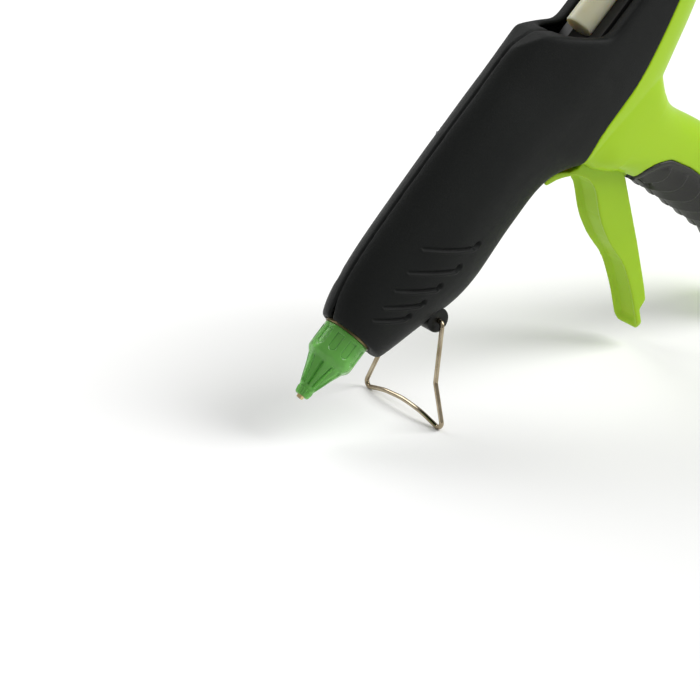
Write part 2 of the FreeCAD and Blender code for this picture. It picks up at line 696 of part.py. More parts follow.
def build_trigger():
    """The trigger: a finger plate with two side walls, a hub on the pivot pin, and a fork above it."""
    half = dim("trigger_half_width")
    pivot_u, pivot_v = dim("pivot_u"), dim("pivot_v")
    solid = slab(TRIGGER_OUTLINE, -half, half)
    pocket = slab([
        (146, -52, 2), (144, -56.5, 4), (136.6, -69.5, 12), (133.4, -82.5, 12), (133, -95, 12), (127.6, -110.5, 4),
        (124.4, -117.5, 0), (140, -125, 0), (175, -60, 0), (164, -49, 0), (150, -49, 2)], -half + 2, half - 2)
    solid = solid.cut(pocket)
    solid = solid.fuse(rod(pivot_u, pivot_v, 5.4, -dim("arm_outer"), dim("arm_outer")))
    reach = Vector(DRIVE_U - pivot_u, 0, ARM).normalize()
    across = Vector(reach.z, 0, -reach.x)
    centre = Vector(pivot_u, 0, pivot_v)

    def strip(start, end, half_width, low_y, high_y):
        corners = [centre + reach * start - across * half_width, centre + reach * end - across * half_width,
                   centre + reach * end + across * half_width, centre + reach * start + across * half_width]
        return slab([(corner.x, corner.z, 0) for corner in corners], low_y, high_y)

    for side in (-1, 1):
        low, high = sorted((side * dim("arm_inner"), side * dim("arm_outer")))
        prong = strip(0, 46, 3.9, low, high).cut(strip(37.5, 50, dim("drive_pin_radius") + 0.3, low - 1, high + 1))
        solid = solid.fuse(prong)
    solid = solid.cut(rod(pivot_u, pivot_v, dim("pivot_pin_radius") + 0.05, -20, 20))
    feature_node("trigger", solid.removeSplitter())

    pin = new_body("trigger_pin")
    extrude(pin, circle_sketch(pin, "XZ_Plane", ("Dim.pivot_u", "Dim.pivot_v"), "Dim.pivot_pin_radius"), "Pad", "26")


def build_feed():
    """The carriage that carries the stick forward, its biting claw, and the track under it."""
    worked_out = {
        "drive_u": "=pivot_u - pivot_v * tan(trigger_travel / 2 * 1deg)",
        "carriage_u": "=drive_u - carriage_lead",
    }
    for row, (alias, formula) in enumerate(worked_out.items(), start=len(DIMENSIONS) + 1):
        sheet.set(f"A{row}", alias)
        sheet.set(f"B{row}", formula)
        sheet.setAlias(f"B{row}", alias)
        doc.recompute()

    carriage = new_body("feed_carriage")
    low, high = "Dim.carriage_u - Dim.carriage_half_length", "Dim.carriage_u + Dim.carriage_half_length"
    extrude(carriage, outline_sketch(carriage, "XZ_Plane", [
        (low, "-Dim.carriage_half_width"), (high, "-Dim.carriage_half_width"), (high, "Dim.carriage_half_width"),
        (low, "Dim.carriage_half_width")]), "Pad", "Dim.carriage_half_width * 2")
    extrude(carriage, outline_sketch(carriage, "XZ_Plane", [
        (low, "Dim.carriage_half_width - 1"), (high, "Dim.carriage_half_width - 1"),
        (high, "Dim.carriage_half_width + 1"), ("Dim.carriage_u + 6", "12.4"), ("Dim.carriage_u + 1", "12.4"),
        (low, "Dim.carriage_half_width + 2")]), "Pad", "15")
    extrude(carriage, circle_sketch(carriage, "XZ_Plane", ("Dim.drive_u", "0"), "Dim.drive_pin_radius"),
            "Pad", "22.8")
    extrude(carriage, outline_sketch(carriage, "XZ_Plane", [
        ("Dim.carriage_u - 8", "4"), ("Dim.carriage_u + 6.9", "4"), ("Dim.carriage_u + 6.9", "14"),
        ("Dim.carriage_u - 8", "14")]), "Pocket", "7.8")
    extrude(carriage, circle_sketch(carriage, "YZ_Plane", ("0", "0"), "Dim.carriage_bore_radius"), "Pocket", "400")
    extrude(carriage, circle_sketch(carriage, "XZ_Plane", ("Dim.carriage_u + 3.5", "9.6"),
                                    "Dim.claw_pin_radius + 0.05"), "Pocket", "20")

    claw = new_body("feed_claw")
    shape = [(-6.6, 11.4), (-6.9, 8.6), (-5.5, 6.95), (-3.8, 8.2), (1.2, 7.6), (3.5, 7.2), (5.9, 9.6), (3.5, 12.0),
             (-2.0, 11.8)]
    corners = [(f"Dim.carriage_u + {u}", f"{v}") for u, v in shape]
    extrude(claw, outline_sketch(claw, "XZ_Plane", corners), "Pad", "7")
    extrude(claw, circle_sketch(claw, "XZ_Plane", ("Dim.carriage_u + 3.5", "9.6"),
                                "Dim.claw_pin_radius + 0.05"), "Pocket", "20")
    pin = new_body("claw_pin")
    extrude(pin, circle_sketch(pin, "XZ_Plane", ("Dim.carriage_u + 3.5", "9.6"), "Dim.claw_pin_radius"),
            "Pad", "14.6")

    track = plate("carriage_track", "130", "171", "-10.2", "-8.3", "Dim.carriage_half_width * 2")
    for start in (130, 167):
        corners = [(f"{start}", "-10.2"), (f"{start + 4}", "-10.2"), (f"{start + 4}", "-8.3"), (f"{start}", "-8.3")]
        extrude(track, outline_sketch(track, "XZ_Plane", corners), "Pad", "30")
    spring_rear = DRIVE_U - dim("carriage_lead") - dim("carriage_half_length") - 0.3
    feature_node("return_spring", coil(dim("sleeve_rear") + 0.3, spring_rear, 4, 7.4, 0.5))


def build_stick():
    """The glue stick, the cradle it lies in and the ring it enters by."""
    stick = doc.addObject("Part::Cylinder", "glue_stick")
    stick.setExpression("Radius", "Dim.stick_radius")
    stick.setExpression("Height", "Dim.stick_length")
    stick.Placement = FreeCAD.Placement(Vector(dim("stick_front"), 0, 0), FreeCAD.Rotation(Vector(0, 1, 0), 90))
    nodes["glue_stick"] = stick

    cradle = plate("stick_cradle", "172", "214", "-10.2", "-3.0", "20")
    extrude(cradle, outline_sketch(cradle, "XZ_Plane", [
        ("174", "-10.2"), ("214", "-10.2"), ("214", "-8.3"), ("174", "-8.3")]), "Pad", "29")
    extrude(cradle, circle_sketch(cradle, "YZ_Plane", ("0", "0"), "Dim.stick_radius + 0.2"), "Pocket", "500")
    turned("stick_guide", [
        ("224", "Dim.stick_radius + 0.6"), ("224", "8.0"), ("Dim.body_rear + 0.1", "8.0"),
        ("Dim.body_rear + 0.1", "10.4"), ("Dim.body_rear + 3", "9.6"),
        ("Dim.body_rear + 3", "Dim.stick_radius + 1.8"), ("Dim.body_rear + 0.5", "Dim.stick_radius + 0.6"),
    ])


# ---------------------------------------------------------------- cord inlet and wiring

def build_inlet_and_wiring():
    """The cord gland in the handle's end, the terminal block and the leads up to the heater."""
    end, outward = gland_place()
    length = dim("gland_length")
    tube = Part.makeCylinder(dim("gland_radius"), length, end - outward * (length - 2), outward)
    collar = Part.makeCylinder(dim("gland_radius") + 1.6, 1.8, end + outward * 0.15, outward)
    bore = Part.makeCylinder(dim("inlet_radius"), length + 20, end - outward * (length + 5), outward)
    feature_node("cord_gland", tube.fuse(collar).cut(bore))

    feature_node("terminal_block", block(190, 202.4, -8, 8, -152, -142))
    leads = []
    for side in (-1, 1):
        route = [(99.4, 2.4, -12.2), (105, 2.4, -12.2), (118, 9.5, -12.4), (134, 12.6, -16), (166, 12.4, -31),
                 (180, 8.5, -50), (182.5, 5.5, -66), (188.5, 4, -95), (196.5, 4, -141.8)]
        bends = [dim("lead_bend")] * (len(route) - 2)
        leads.append(bent_wire([Vector(u, side * y, height) for u, y, height in route], bends, dim("lead_radius")))
    feature_node("heater_leads", Part.makeCompound(leads))


# ---------------------------------------------------------------- assembly

build_housing()
build_screws()
build_nozzle()
build_heater()
build_inlet()
build_trigger()
build_feed()
build_stick()
build_inlet_and_wiring()
nodes["nozzle_ball"].Placement = FreeCAD.Placement(Vector(dim("ball_centre"), 0, 0), FreeCAD.Rotation())

doc.recompute()
raised = FreeCAD.Placement(Vector(0, 0, TIP_HEIGHT), FreeCAD.Rotation()) * UPRIGHT
low_x = 1e9
high_x = -1e9
for node in nodes.values():
    node.Placement = raised * node.Placement
    points, _ = node.Shape.tessellate(0.02)
    low_x = min([low_x] + [point.x for point in points])
    high_x = max([high_x] + [point.x for point in points])
SHIFT = -(low_x + high_x) / 2
for name, node in nodes.items():
    node.Placement = FreeCAD.Placement(Vector(SHIFT, 0, 0), FreeCAD.Rotation()) * node.Placement
    node.Label = name
doc.recompute()
STANDING = FreeCAD.Placement(Vector(SHIFT, 0, 0), FreeCAD.Rotation()) * raised

faults = [item.Name for item in doc.Objects if {"Invalid", "Error"} & set(item.State)]
for name, node in nodes.items():
    if node.Shape.isNull() or not node.Shape.isValid() or not node.Shape.Solids:
        faults.append(name)
if faults:
    raise RuntimeError("failed pieces: " + ", ".join(faults))

os.makedirs("parts", exist_ok=True)
for name, node in nodes.items():
    node.Shape.exportStep(os.path.join("parts", name + ".step"))
    print(f"{name:22s} solids {len(node.Shape.Solids)} volume {node.Shape.Volume:10.1f}")
print("nodes", len(nodes), "shift", round(SHIFT, 4), "tip height", round(TIP_HEIGHT, 4))
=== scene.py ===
"""A mains hot-melt glue gun that stands on its folding wire stand and on the toe of its handle."""

import json
import math

import bmesh
import bpy
import numpy as np
from mathutils import Matrix, Vector


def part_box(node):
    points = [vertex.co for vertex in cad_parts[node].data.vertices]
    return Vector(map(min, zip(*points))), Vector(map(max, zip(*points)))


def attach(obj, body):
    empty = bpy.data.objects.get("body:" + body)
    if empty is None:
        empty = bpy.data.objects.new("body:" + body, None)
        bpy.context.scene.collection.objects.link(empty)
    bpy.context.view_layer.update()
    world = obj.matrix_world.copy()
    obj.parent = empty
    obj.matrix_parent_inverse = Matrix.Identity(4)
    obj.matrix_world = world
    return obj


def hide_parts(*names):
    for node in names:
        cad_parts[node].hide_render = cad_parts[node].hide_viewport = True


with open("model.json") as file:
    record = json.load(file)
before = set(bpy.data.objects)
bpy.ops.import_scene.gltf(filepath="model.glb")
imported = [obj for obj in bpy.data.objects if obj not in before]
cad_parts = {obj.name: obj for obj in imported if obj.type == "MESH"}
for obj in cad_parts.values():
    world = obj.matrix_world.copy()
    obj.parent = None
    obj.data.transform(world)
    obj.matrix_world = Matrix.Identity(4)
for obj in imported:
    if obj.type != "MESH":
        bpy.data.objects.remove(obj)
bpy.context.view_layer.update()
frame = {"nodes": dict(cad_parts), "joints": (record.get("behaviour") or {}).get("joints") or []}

# ---------------------------------------------------------------- the gun's own frame
# u runs along the glue path from the nozzle's tip to the rear, y across the gun and v up from the
# glue path, all in millimetres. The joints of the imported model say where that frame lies.

MM = 0.001
PIVOT = (153.0, -41.0)
STAND = (56.5, -23.0)

# The v where the rear shell meets the handle shell, how near to it a vertex counts as on it, and how
# far the two shells are lapped to be drawn as one.
NECK = -50.0
NECK_NEAR = 0.05
NECK_LAP = 0.7

joints = {joint["name"]: joint for joint in frame["joints"]}
rearward = -np.array(joints["stick_slide"]["axis"], float)
upward = np.array([-rearward[2], 0.0, rearward[0]])
AXES = np.array([rearward, [0.0, 1.0, 0.0], upward])
pivot_point = np.array(joints["trigger_pull"]["pos_m"], float)
ORIGIN = pivot_point - (AXES[0] * PIVOT[0] + AXES[2] * PIVOT[1]) * MM


def to_row(points):
    """Points of the gun's frame, in mm, as points of the row frame, in metres."""
    return np.asarray(points, float) @ AXES * MM + ORIGIN


def to_gun(points):
    """Points of the row frame, in metres, as points of the gun's frame, in mm."""
    return (np.asarray(points, float) - ORIGIN) @ AXES.T / MM


def step(low, high, value):
    """0 below low, 1 above high and smooth between."""
    share = np.clip((value - low) / (high - low), 0.0, 1.0)
    return share * share * (3 - 2 * share)


# ---------------------------------------------------------------- meshes

def mesh_points(mesh):
    """A mesh's vertices as an array."""
    points = np.empty(len(mesh.vertices) * 3, np.float32)
    mesh.vertices.foreach_get("co", points)
    return points.reshape(-1, 3).astype(float)


def set_points(mesh, points):
    """Moves a mesh's vertices."""
    mesh.vertices.foreach_set("co", np.asarray(points, np.float32).ravel())
    mesh.update()


def mesh_normals(mesh):
    """A mesh's vertex normals as an array."""
    normals = np.empty(len(mesh.vertices) * 3, np.float32)
    mesh.vertex_normals.foreach_get("vector", normals)
    return normals.reshape(-1, 3).astype(float)


def mesh_edges(mesh):
    """A mesh's edges as pairs of vertex numbers."""
    edges = np.empty(len(mesh.edges) * 2, np.int32)
    mesh.edges.foreach_get("vertices", edges)
    return edges.reshape(-1, 2)


def smoothed(points, edges, rounds, share=0.5, weight=None):
    """Points drawn towards the middle of their neighbours, by a share of the way in each round."""
    count = len(points)
    links = np.bincount(edges.ravel(), minlength=count).astype(float)
    links[links == 0] = 1
    points = points.copy()
    for _ in range(rounds):
        pull = np.empty_like(points)
        for axis in range(3):
            value = points[:, axis]
            total = np.bincount(edges[:, 0], value[edges[:, 1]], count)
            total += np.bincount(edges[:, 1], value[edges[:, 0]], count)
            pull[:, axis] = total / links - value
        if weight is not None:
            pull *= weight[:, None]
        points += pull * share
    return points


def remeshed(nodes, voxel):
    """A new mesh, in the gun's frame, of even voxel-sized faces over the joined surfaces of CAD nodes."""
    work = bmesh.new()
    for node in nodes:
        work.from_mesh(frame["nodes"][node].data)
    source = bpy.data.meshes.new("source")
    work.to_mesh(source)
    work.free()
    points = to_gun(mesh_points(source))
    if len(nodes) > 1:
        count = len(frame["nodes"][nodes[0]].data.vertices)
        meeting = np.abs(points[:count, 2] - NECK) < NECK_NEAR
        points[:count, 2] -= NECK_LAP * meeting
    set_points(source, points)
    holder = bpy.data.objects.new("holder", source)
    bpy.context.scene.collection.objects.link(holder)
    modifier = holder.modifiers.new("even", "REMESH")
    modifier.mode = "VOXEL"
    modifier.voxel_size = voxel
    bpy.context.view_layer.update()
    graph = bpy.context.evaluated_depsgraph_get()
    made = bpy.data.meshes.new_from_object(holder.evaluated_get(graph))
    bpy.data.objects.remove(holder)
    bpy.data.meshes.remove(source)
    return made


def refined(mesh, chosen):
    """Cuts in half every edge that joins two chosen vertices."""
    work = bmesh.new()
    work.from_mesh(mesh)
    edges = [edge for edge in work.edges if chosen[edge.verts[0].index] and chosen[edge.verts[1].index]]
    bmesh.ops.subdivide_edges(work, edges=edges, cuts=1, use_grid_fill=True)
    work.to_mesh(mesh)
    work.free()


def add_piece(name, mesh, body, material, nodes=()):
    """Puts a mesh of the gun's frame into the scene as a piece that rides on a body."""
    set_points(mesh, to_row(mesh_points(mesh)))
    mesh.name = name
    mesh.materials.clear()
    mesh.materials.append(material)
    mesh.shade_smooth()
    piece = bpy.data.objects.new(name, mesh)
    bpy.context.scene.collection.objects.link(piece)
    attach(piece, body)
    if nodes:
        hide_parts(*nodes)
    return piece


def mesh_from(points, faces):
    """A mesh from points of the gun's frame and faces."""
    mesh = bpy.data.meshes.new("made")
    mesh.from_pydata([tuple(point) for point in points], [], faces)
    mesh.update()
    return mesh


def grid_faces(rows, columns, first=0):
    """Quads of a grid that closes round its columns."""
    faces = []
    for row in range(rows - 1):
        for column in range(columns):
            following = (column + 1) % columns
            low = first + row * columns
            high = low + columns
            faces.append((low + column, low + following, high + following, high + column))
    return faces


def turned_mesh(outline, steps, axis="u", centre=(0.0, 0.0), change=None):
    """An outline of (place along the axis, radius), turned about the gun's u or y axis into a closed mesh.

    The outline's ends are joined, or are poles where they lie on the axis. Change, if given, moves the
    radius by its answer at (place, angle, radius).
    """
    outline = np.array(outline, float)
    angle = np.arange(steps) * 2 * math.pi / steps
    place = np.repeat(outline[:, 0], steps)
    radius = np.repeat(outline[:, 1], steps)
    turn = np.tile(angle, len(outline))
    if change is not None:
        radius = radius + change(place, turn, radius)
    side = radius * np.sin(turn)
    rise = radius * np.cos(turn)
    if axis == "u":
        points = np.stack([place, centre[0] + side, centre[1] + rise], 1)
    else:
        points = np.stack([centre[0] + side, place, centre[1] + rise], 1)
    rows = len(outline)
    faces = grid_faces(rows, steps)
    if outline[0, 1] > 0:
        last = (rows - 1) * steps
        for column in range(steps):
            following = (column + 1) % steps
            faces.append((last + column, last + following, following, column))
    mesh = mesh_from(points, faces)
    return facing_out(mesh)


# Vertices nearer than this, in mm, are the same pole.
POLE = 0.00001


def facing_out(mesh):
    """Joins the vertices at each pole of a closed mesh and turns its faces outwards."""
    work = bmesh.new()
    work.from_mesh(mesh)
    bmesh.ops.remove_doubles(work, verts=work.verts, dist=POLE)
    bmesh.ops.recalc_face_normals(work, faces=work.faces)
    work.to_mesh(mesh)
    work.free()
    mesh.update()
    return mesh


FAR_AWAY = 1e9


def path_distance(points, path, amounts):
    """Distance from 2-D points to a path, and the path's amount at the nearest place."""
    best = np.full(len(points), FAR_AWAY)
    amount = np.zeros(len(points))
    for index in range(len(path) - 1):
        start = np.array(path[index], float)
        run = np.array(path[index + 1], float) - start
        share = np.clip(((points - start) @ run) / (run @ run), 0, 1)
        gap = np.linalg.norm(points - start - share[:, None] * run, axis=1)
        nearer = gap < best
        best[nearer] = gap[nearer]
        value = amounts[index] + (amounts[index + 1] - amounts[index]) * share
        amount[nearer] = value[nearer]
    return best, amount


# ---------------------------------------------------------------- materials

class Paint:
    """A procedural material under construction."""

    def __init__(self, name):
        self.material = bpy.data.materials.new(name)
        self.material.use_nodes = True
        self.tree = self.material.node_tree
        self.shader = self.tree.nodes["Principled BSDF"]
        coordinates = self.tree.nodes.new("ShaderNodeTexCoord")
        self.place = coordinates.outputs["Object"]

    def set(self, **values):
        """Sets sockets of the shader, named with an underscore for each space."""
        for name, value in values.items():
            self.shader.inputs[name.replace("_", " ")].default_value = value
        return self

    def noise(self, scale, detail=3.0, roughness=0.5, stretch=None):
        """A noise texture in the piece's own space; scale is in cells per metre."""
        place = self.place
        if stretch is not None:
            mapping = self.tree.nodes.new("ShaderNodeMapping")
            mapping.inputs["Scale"].default_value = stretch
            self.tree.links.new(place, mapping.inputs["Vector"])
            place = mapping.outputs["Vector"]
        node = self.tree.nodes.new("ShaderNodeTexNoise")
        node.inputs["Scale"].default_value = scale
        node.inputs["Detail"].default_value = detail
        node.inputs["Roughness"].default_value = roughness
        self.tree.links.new(place, node.inputs["Vector"])
        return node.outputs["Fac"]

    def ramp(self, source, low, high, first, last):
        """Maps a value between low and high to a colour between first and last."""
        node = self.tree.nodes.new("ShaderNodeValToRGB")
        node.color_ramp.elements[0].position = low
        node.color_ramp.elements[1].position = high
        node.color_ramp.elements[0].color = (*first, 1)
        node.color_ramp.elements[1].color = (*last, 1)
        self.tree.links.new(source, node.inputs["Fac"])
        return node.outputs["Color"]

    def spread(self, source, low, high):
        """Maps 0..1 to low..high."""
        node = self.tree.nodes.new("ShaderNodeMapRange")
        node.inputs["To Min"].default_value = low
        node.inputs["To Max"].default_value = high
        self.tree.links.new(source, node.inputs["Value"])
        return node.outputs["Result"]

    def hollows(self, low, high):
        """0 in hollows, where pointiness is under low, and 1 on flats and edges, where it is over high: the
        mask that puts painted shade into hollows.
        """
        node = self.tree.nodes.new("ShaderNodeNewGeometry")
        spread = self.tree.nodes.new("ShaderNodeMapRange")
        spread.inputs["From Min"].default_value = low
        spread.inputs["From Max"].default_value = high
        self.tree.links.new(node.outputs["Pointiness"], spread.inputs["Value"])
        return spread.outputs["Result"]

    def mixed(self, share, first, second):
        """A blend from the first colour output to the second."""
        node = self.tree.nodes.new("ShaderNodeMix")
        node.data_type = "RGBA"
        self.tree.links.new(share, node.inputs[0])
        self.tree.links.new(first, node.inputs[6])
        self.tree.links.new(second, node.inputs[7])
        return node.outputs[2]

    def colour(self, output):
        """Gives the shader its base colour."""
        self.tree.links.new(output, self.shader.inputs["Base Color"])
        return self

    def rough(self, output):
        """Gives the shader its roughness."""
        self.tree.links.new(output, self.shader.inputs["Roughness"])
        return self

    def bump(self, *layers):
        """Adds bumps one over another, each a (height output, depth in metres)."""
        normal = None
        for height, depth in layers:
            node = self.tree.nodes.new("ShaderNodeBump")
            node.inputs["Strength"].default_value = 1.0
            node.inputs["Distance"].default_value = depth
            self.tree.links.new(height, node.inputs["Height"])
            if normal is not None:
                self.tree.links.new(normal, node.inputs["Normal"])
            normal = node.outputs["Normal"]
        self.tree.links.new(normal, self.shader.inputs["Normal"])
        return self


def rgb(red, green, blue):
    """A colour given as it looks on screen, 0 to 255, as the shader's linear values."""
    values = []
    for part in (red, green, blue):
        share = part / 255
        values.append(share / 12.92 if share <= 0.04045 else ((share + 0.055) / 1.055) ** 2.4)
    return tuple(values)


def plastic(name, dark, light, roughness, grain, depth, deep=None, **sockets):
    """Moulded plastic: fine grain, slow colour drift, uneven gloss and, if asked, painted shade that darkens
    its hollows.
    """
    paint = Paint(name)
    drift = paint.noise(28, 4)
    colour = paint.ramp(drift, 0.3, 0.7, dark, light)
    if deep is not None:
        # Painted shade: where pointiness finds a hollow, the colour is drawn towards the deep colour given.
        colour = paint.mixed(paint.hollows(0.42, 0.52), paint.ramp(drift, 0.3, 0.7, deep, dark), colour)
    paint.colour(colour)
    paint.rough(paint.spread(paint.noise(160, 5), roughness[0], roughness[1]))
    paint.bump((paint.noise(grain, 3, 0.6), depth), (paint.noise(70, 2), depth * 0.8))
    return paint.set(**sockets).material


def metal(name, dark, light, roughness, stretch=None, **sockets):
    """Metal with fine scratches and a slightly uneven tint."""
    paint = Paint(name)
    paint.set(Metallic=1.0)
    paint.colour(paint.ramp(paint.noise(120, 4), 0.3, 0.7, dark, light))
    scratches = paint.noise(900, 4, 0.6, stretch)
    paint.rough(paint.spread(scratches, roughness[0], roughness[1]))
    paint.bump((scratches, 0.000006))
    return paint.set(**sockets).material


def translucent(name, dark, light, roughness, grain, depth, deep=None, **sockets):
    """A see-through or waxy material with a soft uneven surface and, if asked, painted shade in a deeper
    colour in its hollows.
    """
    paint = Paint(name)
    drift = paint.noise(90, 3)
    colour = paint.ramp(drift, 0.3, 0.7, dark, light)
    if deep is not None:
        # Painted shade: hollows, found by pointiness, take the deep colour.
        shade = paint.ramp(drift, 0.3, 0.7, deep, deep)
        colour = paint.mixed(paint.hollows(0.44, 0.495), shade, colour)
    paint.colour(colour)
    paint.rough(paint.spread(paint.noise(240, 4), roughness[0], roughness[1]))
    paint.bump((paint.noise(grain, 3), depth))
    return paint.set(**sockets).material


# Each is given its darkest and lightest colour, its range of roughness, and its grain's scale and depth.
shell_black = plastic(
    "shell_black", rgb(10, 12, 11), rgb(16, 19, 17), (0.44, 0.58), 2600, 0.0002,
    Specular_IOR_Level=0.17)
handle_green = plastic(
    "handle_green", rgb(158, 200, 8), rgb(166, 207, 14), (0.32, 0.44), 1500, 0.00002,
    Subsurface_Weight=0.12, Subsurface_Scale=0.004, Specular_IOR_Level=0.32)
trigger_green = plastic(
    "trigger_green", rgb(150, 192, 11), rgb(158, 199, 19), (0.34, 0.46), 1800, 0.00004,
    Subsurface_Weight=0.12, Subsurface_Scale=0.004, Specular_IOR_Level=0.32)
# The rubber's hollows between the scales get a near-black painted shade.
grip_rubber = plastic(
    "grip_rubber", rgb(12, 12, 8), rgb(23, 23, 16), (0.42, 0.58), 1700, 0.00012, deep=rgb(1, 1, 1),
    Sheen_Weight=0.05, Sheen_Roughness=0.5)
smooth_black = plastic(
    "smooth_black", rgb(9, 11, 9), rgb(13, 15, 13), (0.32, 0.44), 1200, 0.00002,
    Specular_IOR_Level=0.2)
inner_black = plastic(
    "inner_black", rgb(24, 25, 24), rgb(31, 31, 30), (0.5, 0.65), 900, 0.00003)
support_plastic = plastic(
    "support_plastic", rgb(176, 160, 132), rgb(188, 172, 143), (0.5, 0.65), 900, 0.00003)
sleeve_red = plastic(
    "sleeve_red", rgb(176, 62, 44), rgb(190, 72, 52), (0.45, 0.6), 700, 0.00004,
    Subsurface_Weight=0.1, Subsurface_Scale=0.003)
film_amber = translucent(
    "film_amber", rgb(170, 96, 20), rgb(190, 112, 30), (0.2, 0.35), 300, 0.00002,
    Transmission_Weight=0.3)
lead_white = plastic(
    "lead_white", rgb(214, 210, 198), rgb(228, 224, 214), (0.6, 0.8), 2500, 0.0001)
ceramic_grey = plastic(
    "ceramic_grey", rgb(120, 116, 110), rgb(136, 132, 126), (0.6, 0.8), 1200, 0.00004)
wire_nickel = metal("wire_nickel", rgb(138, 122, 96), rgb(196, 184, 160), (0.08, 0.18))
brass = metal("brass", rgb(204, 180, 130), rgb(220, 198, 150), (0.16, 0.3))
steel = metal("steel", rgb(178, 178, 180), rgb(198, 198, 200), (0.22, 0.38))
# The nose ring's colour is darkened as painted shade, for the shade under the overhanging nose lip.
ring_steel = metal("ring_steel", rgb(96, 84, 60), rgb(150, 132, 96), (0.25, 0.45))
cast_aluminium = metal("cast_aluminium", rgb(170, 171, 173), rgb(190, 191, 193), (0.4, 0.6))
# The cover's slots and panel hollows get a deep green painted shade.
cover_silicone = translucent(
    "cover_silicone", rgb(130, 208, 100), rgb(142, 216, 110), (0.12, 0.22), 500, 0.00002,
    deep=rgb(30, 104, 54), Transmission_Weight=0.62, IOR=1.33)
glue_wax = translucent(
    "glue_wax", rgb(208, 206, 176), rgb(221, 219, 192), (0.30, 0.42), 420, 0.00003,
    Transmission_Weight=0.12, Subsurface_Weight=0.75, Subsurface_Scale=0.006, IOR=1.45)
glue_wax.node_tree.nodes["Principled BSDF"].inputs["Subsurface Radius"].default_value = (1.0, 0.75, 0.38)

# ---------------------------------------------------------------- housing shells

# The size of the shells' faces, in mm.
FINE = 0.45

# A normal's share across the gun above which a surface counts as the outside of a flank.
FLANK_FACING = 0.3

# The lower lip of each side louvre, in (u, v): its front end, its middle, its corner and its hook's tip.
LOUVRES = [
    ((70.6, 8.2), (75.8, 1.0), (83.6, -9.0), (86.3, -9.7)),
    ((60.4, 6.8), (65.9, -0.3), (72.7, -8.8), (75.0, -9.0)),
    ((52.1, 6.0), (56.6, -0.1), (62.7, -7.4), (64.7, -7.5)),
    ((44.6, 5.0), (49.1, -0.7), (54.1, -6.6), (56.0, -7.0)),
    ((38.5, 4.8), (41.8, 0.2), (46.6, -5.8), (48.6, -6.3)),
]
LOUVRE_DEPTHS = (0.5, 0.8, 1.0, 1.35)

# The louvre's deepest line, from its lip, and how far it reaches below the lip and above it.
GROOVE_MIDDLE = np.array([0.55, 0.4])
REACH_BELOW = 0.55
REACH_ABOVE = 1.0
REACH_PER_DEPTH = 0.5

# The thin raised ridge along the lip: how far out it runs, how wide it is and how high.
RIDGE_OUT = 0.95
RIDGE_WIDTH = 0.36
RIDGE_HEIGHT = 0.28

# The distance from a louvre within which the mesh is made finer.
LOUVRE_NEAR = 3.2


def louvre_gap(points):
    """The distance from each point to the nearest louvre, seen from the side."""
    gap = np.full(len(points), FAR_AWAY)
    for path in LOUVRES:
        gap = np.minimum(gap, path_distance(points[:, [0, 2]], path, LOUVRE_DEPTHS)[0])
    return gap


def louvre_depth(points, outward):
    """How far the louvres sink into the flank at each point: a step down at the lip, easing out above it."""
    flat = points[:, [0, 2]] - GROOVE_MIDDLE
    depth = np.zeros(len(points))
    ridge = np.zeros(len(points))
    for path in LOUVRES:
        gap, deep = path_distance(flat, path, LOUVRE_DEPTHS)
        start = np.array(path[0])
        run = np.array(path[2]) - start
        normal = np.array([-run[1], run[0]]) / np.linalg.norm(run)
        above = (flat - start) @ normal
        reach = np.where(above > 0, REACH_ABOVE + REACH_PER_DEPTH * deep, REACH_BELOW)
        soft = 1 - step(0.0, 1.0, gap / reach)
        depth = np.maximum(depth, deep * soft)
        edge = np.exp(-((gap - RIDGE_OUT) / RIDGE_WIDTH) ** 2) * (above < 0)
        ridge = np.maximum(ridge, RIDGE_HEIGHT * edge)
    return (depth - ridge) * (outward > FLANK_FACING)


def shell_piece(nodes, side, material, sculpt):
    """A housing shell with eased edges and the sculpted details of its outside."""
    mesh = remeshed(nodes, FINE)
    points = smoothed(mesh_points(mesh), mesh_edges(mesh), 4)
    set_points(mesh, points)
    if sculpt is body_sculpt:
        outward = mesh_normals(mesh)[:, 1] * side
        refined(mesh, (louvre_gap(points) < LOUVRE_NEAR) & (outward > FLANK_FACING))
        points = mesh_points(mesh)
    edges = mesh_edges(mesh)
    normals = mesh_normals(mesh)
    points = sculpt(points, normals, edges, side)
    points = smoothed(points, edges, 1, 0.35)
    set_points(mesh, points)
    return add_piece(nodes[-1] + "_skin", mesh, "housing", material, nodes)


# Where the nose stops being softened, and where the window's lips start and stop, along u and up v.
NOSE_END = (32.0, 39.0)
LIP_START = (160.0, 172.0)
LIP_END = (216.0, 226.0)
LIP_FOOT = (-9.0, -3.0)

# The rounds of smoothing that soften them, for faces of 1 mm.
SOFT_ROUNDS = 11

# The groove along the top seam: where it runs, its half width and its depth.
SEAM_REAR = 172
SEAM_FOOT = 8
SEAM_HALF = 0.55
SEAM_DEPTH = 0.55

# The wider notch that the seam ends in at the nose: its end along u, its half width and its depth.
NOTCH_END = (30.0, 37.0)
NOTCH_HALF = 1.2
NOTCH_DEPTH = 0.55


def body_sculpt(points, normals, edges, side):
    """The body's soft nose and window lips, its louvres and the groove along its seam."""
    u, y, v = points.T
    nose = 1 - step(*NOSE_END, u)
    lip = step(*LIP_START, u) * (1 - step(*LIP_END, u)) * step(*LIP_FOOT, v)
    rounds = int(SOFT_ROUNDS / FINE ** 2)
    points = smoothed(points, edges, rounds, 0.5, np.clip(nose + lip, 0, 1))
    outward = normals[:, 1] * side
    points[:, 1] -= side * louvre_depth(points, outward)
    u, y, v = points.T
    top = (v > SEAM_FOOT) & (u < SEAM_REAR)
    beside = np.abs(y)
    groove = np.exp(-(beside / SEAM_HALF) ** 2) * SEAM_DEPTH * top * (normals[:, 2] > 0.2)
    points[:, 2] -= groove
    notch = (1 - step(*NOTCH_END, u)) * (beside < NOTCH_HALF) * top
    points[:, 1] += side * NOTCH_DEPTH * notch
    return points


